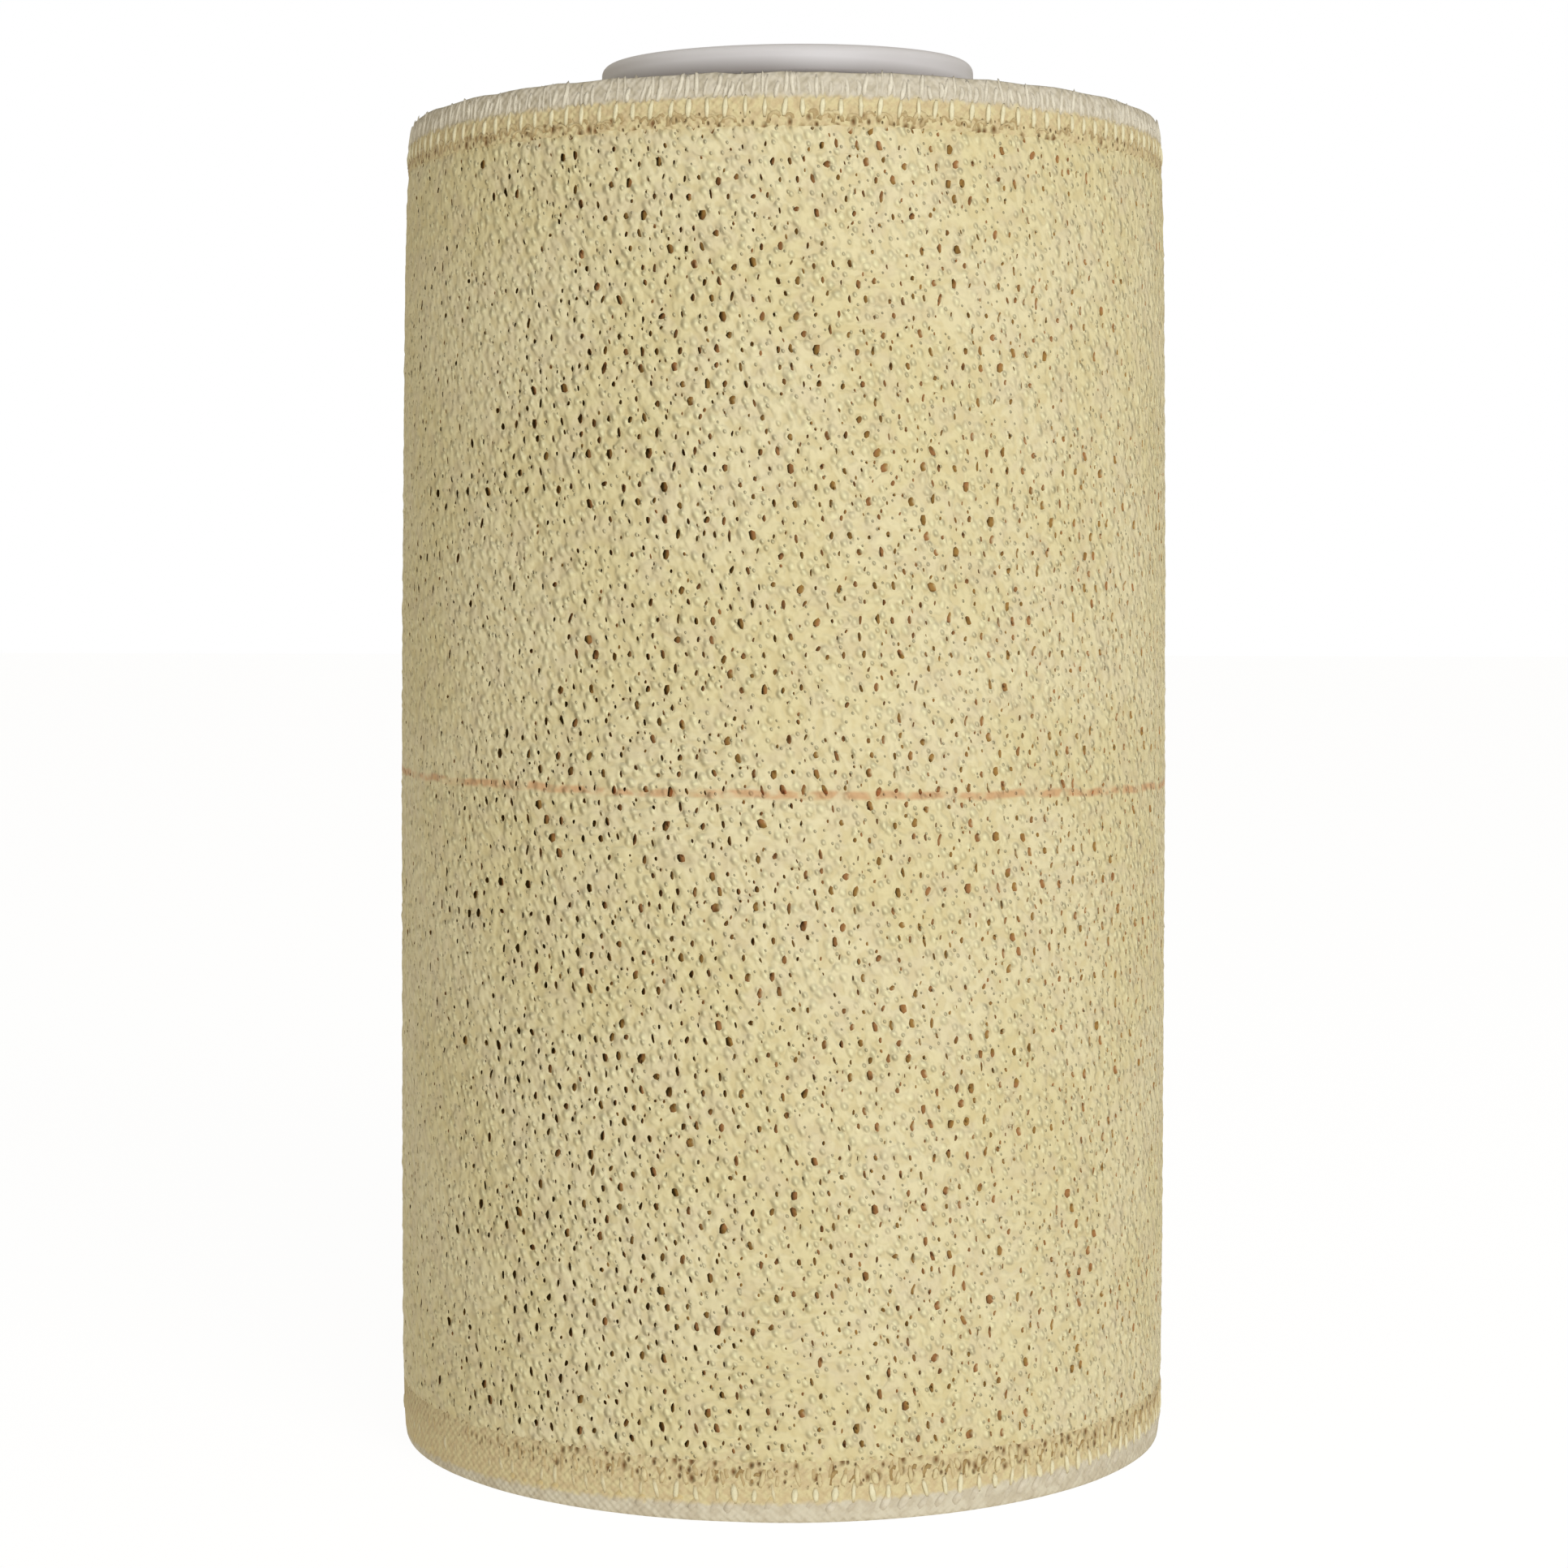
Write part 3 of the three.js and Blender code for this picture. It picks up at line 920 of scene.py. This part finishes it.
def tube(path, radii, sides):
    """The points and faces of a closed tube along a path, in millimetres."""
    path = np.array(path, float)
    ahead = np.gradient(path, axis=0)
    ahead /= np.linalg.norm(ahead, axis=1)[:, None]
    across = np.cross(ahead, (0.0, 0.0, 1.0))
    across /= np.linalg.norm(across, axis=1)[:, None]
    up = np.cross(across, ahead)
    points = []
    for place, right, top, radius in zip(path, across, up, radii):
        for k in range(sides):
            angle = 2 * math.pi * k / sides
            points.append(place + radius * (math.cos(angle) * right + math.sin(angle) * top))
    return points, skin(len(path), sides, flipped=True)


def strand_shapes(name, count, steps, sides, bend, seed, waist=0.55):
    """Strands one unit long and one wide, standing on their foot, each bent and swollen in its own way. The waist
    is how thick the ends are next to the middle."""
    rng = np.random.default_rng(seed)
    t = np.linspace(0, 1, steps)
    arch = np.sin(math.pi * t)
    swollen = 0.5 * (waist + (1 - waist) * np.sin(math.pi * (0.15 + 0.7 * t)))
    shapes = []
    for k in range(count):
        curve = rng.normal(0, bend)
        path = np.column_stack([curve * arch * rng.uniform(0.5, 1.5), t, 0.35 * arch - 0.2])
        radii = swollen * rng.uniform(0.85, 1.15, steps)
        radii[0] *= 0.05 + waist
        radii[-1] *= rng.uniform(waist - 0.1, 0.9)
        shapes.append(mesh_object(f"{name}_{k:02d}", *tube(path, radii, sides)))
    return stock(name, shapes)


def arch_shapes(name, count, seed, radius=0.25, end=math.pi):
    """Arches one unit wide and one tall, such as a yarn makes round a pore. They run from their left foot to the
    end's angle, so that a short one is a crescent."""
    rng = np.random.default_rng(seed)
    steps = 8
    t = np.linspace(0, end, steps)
    shapes = []
    for k in range(count):
        x = -0.5 * np.cos(t) + rng.normal(0, 0.12) * np.sin(t)
        path = np.column_stack([x, np.sin(t) * rng.uniform(0.85, 1.1), 0.12 * np.sin(t)])
        shapes.append(mesh_object(f"{name}_{k:02d}", *tube(path, radius * rng.uniform(0.7, 1.3, steps), 6)))
    return stock(name, shapes)


# The rows of strands: their shapes, yarn, start, foot, lift, length, thickness and slant, and then how far their
# slants, places and sizes vary. Lengths are in millimetres.
STRAND_ROWS = {
    "upper_margin_strands": ("filaments", "margin", -0.3, 98.45, -0.08, 1.05, 0.32, 0.0, 0.26, 0.45, 0.3),
    "upper_band_stitches": ("stitches", "stitch", -0.5, 97.15, -0.06, 0.95, 0.4, 0.0, 0.1, 0.08, 0.14),
    "upper_band_arches": ("arches", "band", -0.3, 96.6, -0.19, 0.6, 0.75, 0.0, 0.4, 0.3, 0.4),
    "lower_band_stitches": ("stitches", "stitch", -0.9, 1.6, -0.06, 0.95, 0.4, 0.1, 0.22, 0.14, 0.25),
    # This row's brown crescents are painted shadow at the left and top of the lumps in the lower band.
    "lower_band_hollows": ("hollows", "hollow", -0.6, 2.75, -0.12, 0.8, 0.6, 0.0, 0.25, 0.2, 0.25),
    "lower_band_lumps": ("strands", "coated", -0.5, 2.6, -0.1, 1.0, 0.42, 0.0, 0.3, 0.2, 0.3),
    "lower_coat_lumps": ("strands", "coated", -0.5 - PORE_PITCH / 2, 3.1, -0.14, 0.9, 0.42, 0.0, 0.35, 0.3, 0.3),
    "lower_fringe": ("strands", "fringe", -0.2, 0.7, -0.24, 1.35, 0.7, -0.6, 0.15, 0.12, 0.14),
    "upper_edge_loops": ("loops", "fringe", -OUTER_LENGTH, 99.05, -0.3, 0.85, 0.36, 0.0, 0.3, 0.2, 0.25),
    "lower_edge_loops": ("loops", "fringe", -OUTER_LENGTH, 0.15, -0.3, 0.85, 0.36, 0.0, 0.3, 0.2, 0.25),
}
# The counts and pitches of the rows that don't have one strand to a stitch of the outer turn.
OTHER_SPACING = {
    "upper_margin_strands": (330, OUTER_LENGTH / 331),
    "upper_band_arches": (2 * STITCHES, PORE_PITCH / 2),
    "upper_edge_loops": (2100, PORE_PITCH),
    "lower_edge_loops": (2100, PORE_PITCH),
}
ROW_LABELS = (
    "Start", "Foot", "Lift", "Length", "Thickness", "Slant", "Slant spread", "Place spread", "Size spread",
)


def pressed_in(along):
    """How far the lower strands are pressed in: at the roll's left, where the oil has wicked least."""
    wicked = WICKED_MEAN + WICKED_SWING * np.cos(2 * math.pi * along / OUTER_LENGTH + WICKED_PHASE)
    past_back = np.clip((-along - 0.8 * OUTER_LENGTH) / 12, 0, 1)
    past_front = np.clip((0.3 * OUTER_LENGTH + along) / 12, 0, 1)
    return 0.11 * np.clip(1.65 - wicked, 0, 1) * (1 - past_back - past_front)


def strand_rows(yarns):
    """The strands that show in the bare edges of the outer turn, and the loops on every turn's edges."""
    tree = row_tree()
    shapes = {
        "strands": strand_shapes("strands", 12, 7, 6, 0.25, 31),
        "stitches": strand_shapes("stitches", 8, 7, 6, 0.06, 34, 0.85),
        "loops": strand_shapes("loops", 5, 4, 4, 0.1, 32),
        "arches": arch_shapes("arches", 8, 33),
        "hollows": arch_shapes("hollows", 8, 35, 0.2, 0.62 * math.pi),
        "filaments": strand_shapes("filaments", 12, 7, 5, 0.35, 36, 0.75),
    }
    pieces = []
    for seed, (name, (shape, yarn, *values)) in enumerate(STRAND_ROWS.items(), 1):
        count, pitch = OTHER_SPACING.get(name, (STITCHES, PORE_PITCH))
        given = dict(zip(ROW_LABELS, values))
        room = int((cloth_length(TURNS) + given["Start"]) / pitch)
        made = grown(name, tree, {
            **given, "Count": min(count, room), "Pitch": pitch, "Seed": seed, "Material": yarns[yarn],
            "Shapes": shapes[shape], "Shape count": len(shapes[shape].objects),
        })
        flat = points_of(made.data)
        if name.startswith("upper"):
            flat[:, 0] += ROW_LEAN * (flat[:, 1] - COAT_HEAD)
        elif name != "lower_edge_loops":
            flat[:, 2] -= pressed_in(flat[:, 0])
        set_points(made.data, flat)
        pieces.append(wind(made))
    for kept in shapes.values():
        bpy.data.collections.remove(kept)
    return pieces


# The core.


def quarter_arc(middle, radii, start, steps):
    """A quarter of an ellipse in radius and height, from this angle on."""
    angles = [start + math.pi / 2 * k / steps for k in range(steps + 1)]
    return [(middle[0] + radii[0] * math.cos(a), middle[1] + radii[1] * math.sin(a)) for a in angles]


def core(material):
    """The moulded tube: its profile in radius and height, turned round the axis. The lip leans to the front."""
    profile = [(BORE_RADIUS + 0.25, 0.0), (CORE_RADIUS - 0.15, 0.0), (CORE_RADIUS, 0.2)]
    for out, up in ((0.0, -0.5), (0.05, -0.15), (0.25, 0.05)):
        profile.append((CORE_RADIUS + out, LIP_FOOT + up))
    profile += quarter_arc((LIP_RADIUS - 0.35, LIP_FOOT + 0.5), (0.35, 0.4), -math.pi / 2, 6)
    profile += quarter_arc((LIP_RADIUS - 0.95, CORE_TOP - 0.75), (0.95, 0.75), 0.0, 10)
    profile += quarter_arc((BORE_RADIUS + 0.5, CORE_TOP - 0.5), (0.5, 0.5), math.pi / 2, 5)
    profile.append((BORE_RADIUS, 0.25))
    segments = 128
    points = []
    for s in range(segments):
        angle = 2 * math.pi * s / segments
        lean = 0.62 * (1 + math.sin(angle)) + 0.16 * math.cos(angle) - 0.08
        for radius, height in profile:
            free = max(0.0, (height - WIDTH) / (CORE_TOP - WIDTH))
            place = (radius * math.cos(angle), radius * math.sin(angle), height + free * lean)
            points.append([length * MM for length in place])
    faces = skin(segments, len(profile), flipped=True, closed=True)
    return mesh_object("core_with_lip", points, faces, material)


# Scene.


def floor():
    """A plain pale floor. The light from it is a little weaker and warmer than what the camera sees."""
    material, tree, shader = new_material("pale_floor")
    straight = node(tree, "ShaderNodeLightPath", out="Is Camera Ray")
    fill(tree, shader.inputs, {
        "Base Color": (0.1, 0.1, 0.1, 1.0),
        "Roughness": 0.9,
        "Specular IOR Level": 0.1,
        "Emission Color": layered(tree, "fff7e4", (straight, "ffffff")),
        "Emission Strength": node(tree, RANGE, (straight, 0.0, 1.0, 0.9, 0.93)),
    })
    corners = [(-4, -4, 0), (4, -4, 0), (4, 4, 0), (-4, 4, 0)]
    mesh_object("floor", corners, [(0, 1, 2, 3)], material, smooth=False)


def studio():
    """Soft light from all round, and a square key light at the front, to the right."""
    world = bpy.data.worlds.new("studio")
    bpy.context.scene.world = world
    world.use_nodes = True
    tree = world.node_tree
    straight = node(tree, "ShaderNodeLightPath", out="Is Camera Ray")
    fill(tree, tree.nodes["Background"].inputs, {
        "Color": layered(tree, "fff7e4", (straight, "ffffff")),
        "Strength": node(tree, RANGE, (straight, 0.0, 1.0, 0.43, 1.0)),
    })
    light = bpy.data.lights.new("key", "AREA")
    light.shape = "SQUARE"
    light.size = 0.7
    light.energy = 7.9
    light.color = colour("fbfdff")[:3]
    key = bpy.data.objects.new("key", light)
    key.location = (0.32, -0.86, 0.3)
    key.rotation_euler = (Vector((0, 0, 0.05)) - key.location).to_track_quat("-Z", "Y").to_euler()
    bpy.context.scene.collection.objects.link(key)


def photo_camera():
    """The camera at the photograph's angle."""
    lens = bpy.data.cameras.new("camera")
    lens.lens = 74.03
    lens.sensor_width = 36.0
    lens.shift_y = -0.045
    lens.clip_start = 0.01
    camera = bpy.data.objects.new("camera", lens)
    camera.location = (-0.000175, -0.25042, 0.06344)
    camera.rotation_euler = (math.radians(90 - 1.898), math.radians(-0.14), 0.0)
    bpy.context.scene.collection.objects.link(camera)
    bpy.context.scene.camera = camera
    bpy.context.scene.view_settings.view_transform = "Standard"


floor()
studio()
photo_camera()

coat = coat_material()
cloth = cloth_material()
# Each yarn's third colour is its painted shade where it dips into the cloth.
yarns = {
    "margin": yarn_material("margin_yarn", "c4beae", "d4cebe", "aca494"),
    "band": yarn_material("band_yarn", "b9aa80", "c8bc96", "8a6f42"),
    "stitch": yarn_material("stitch_yarn", "c6bf9f", "d4ceb0", "a08c5e"),
    "coated": yarn_material("coated_yarn", "bfb28a", "ccc19a", "94794a"),
    # The brown of the painted shadow crescents in the lower band.
    "hollow": yarn_material("painted_shadow_yarn", "937a49", "ab9363", "7f6539"),
    "fringe": yarn_material("fringe_yarn", "b8af9b", "c6bfae", "a89e8a", "bba878"),
}
plastic = core_material()

cloth_pieces = [cloth_winding(cloth)] + coat_pieces(coat) + strand_rows(yarns)
for piece in cloth_pieces:
    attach(piece, "root")
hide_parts("bandage_winding")
core_piece = core(plastic)
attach(core_piece, "root")
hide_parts("core_tube")
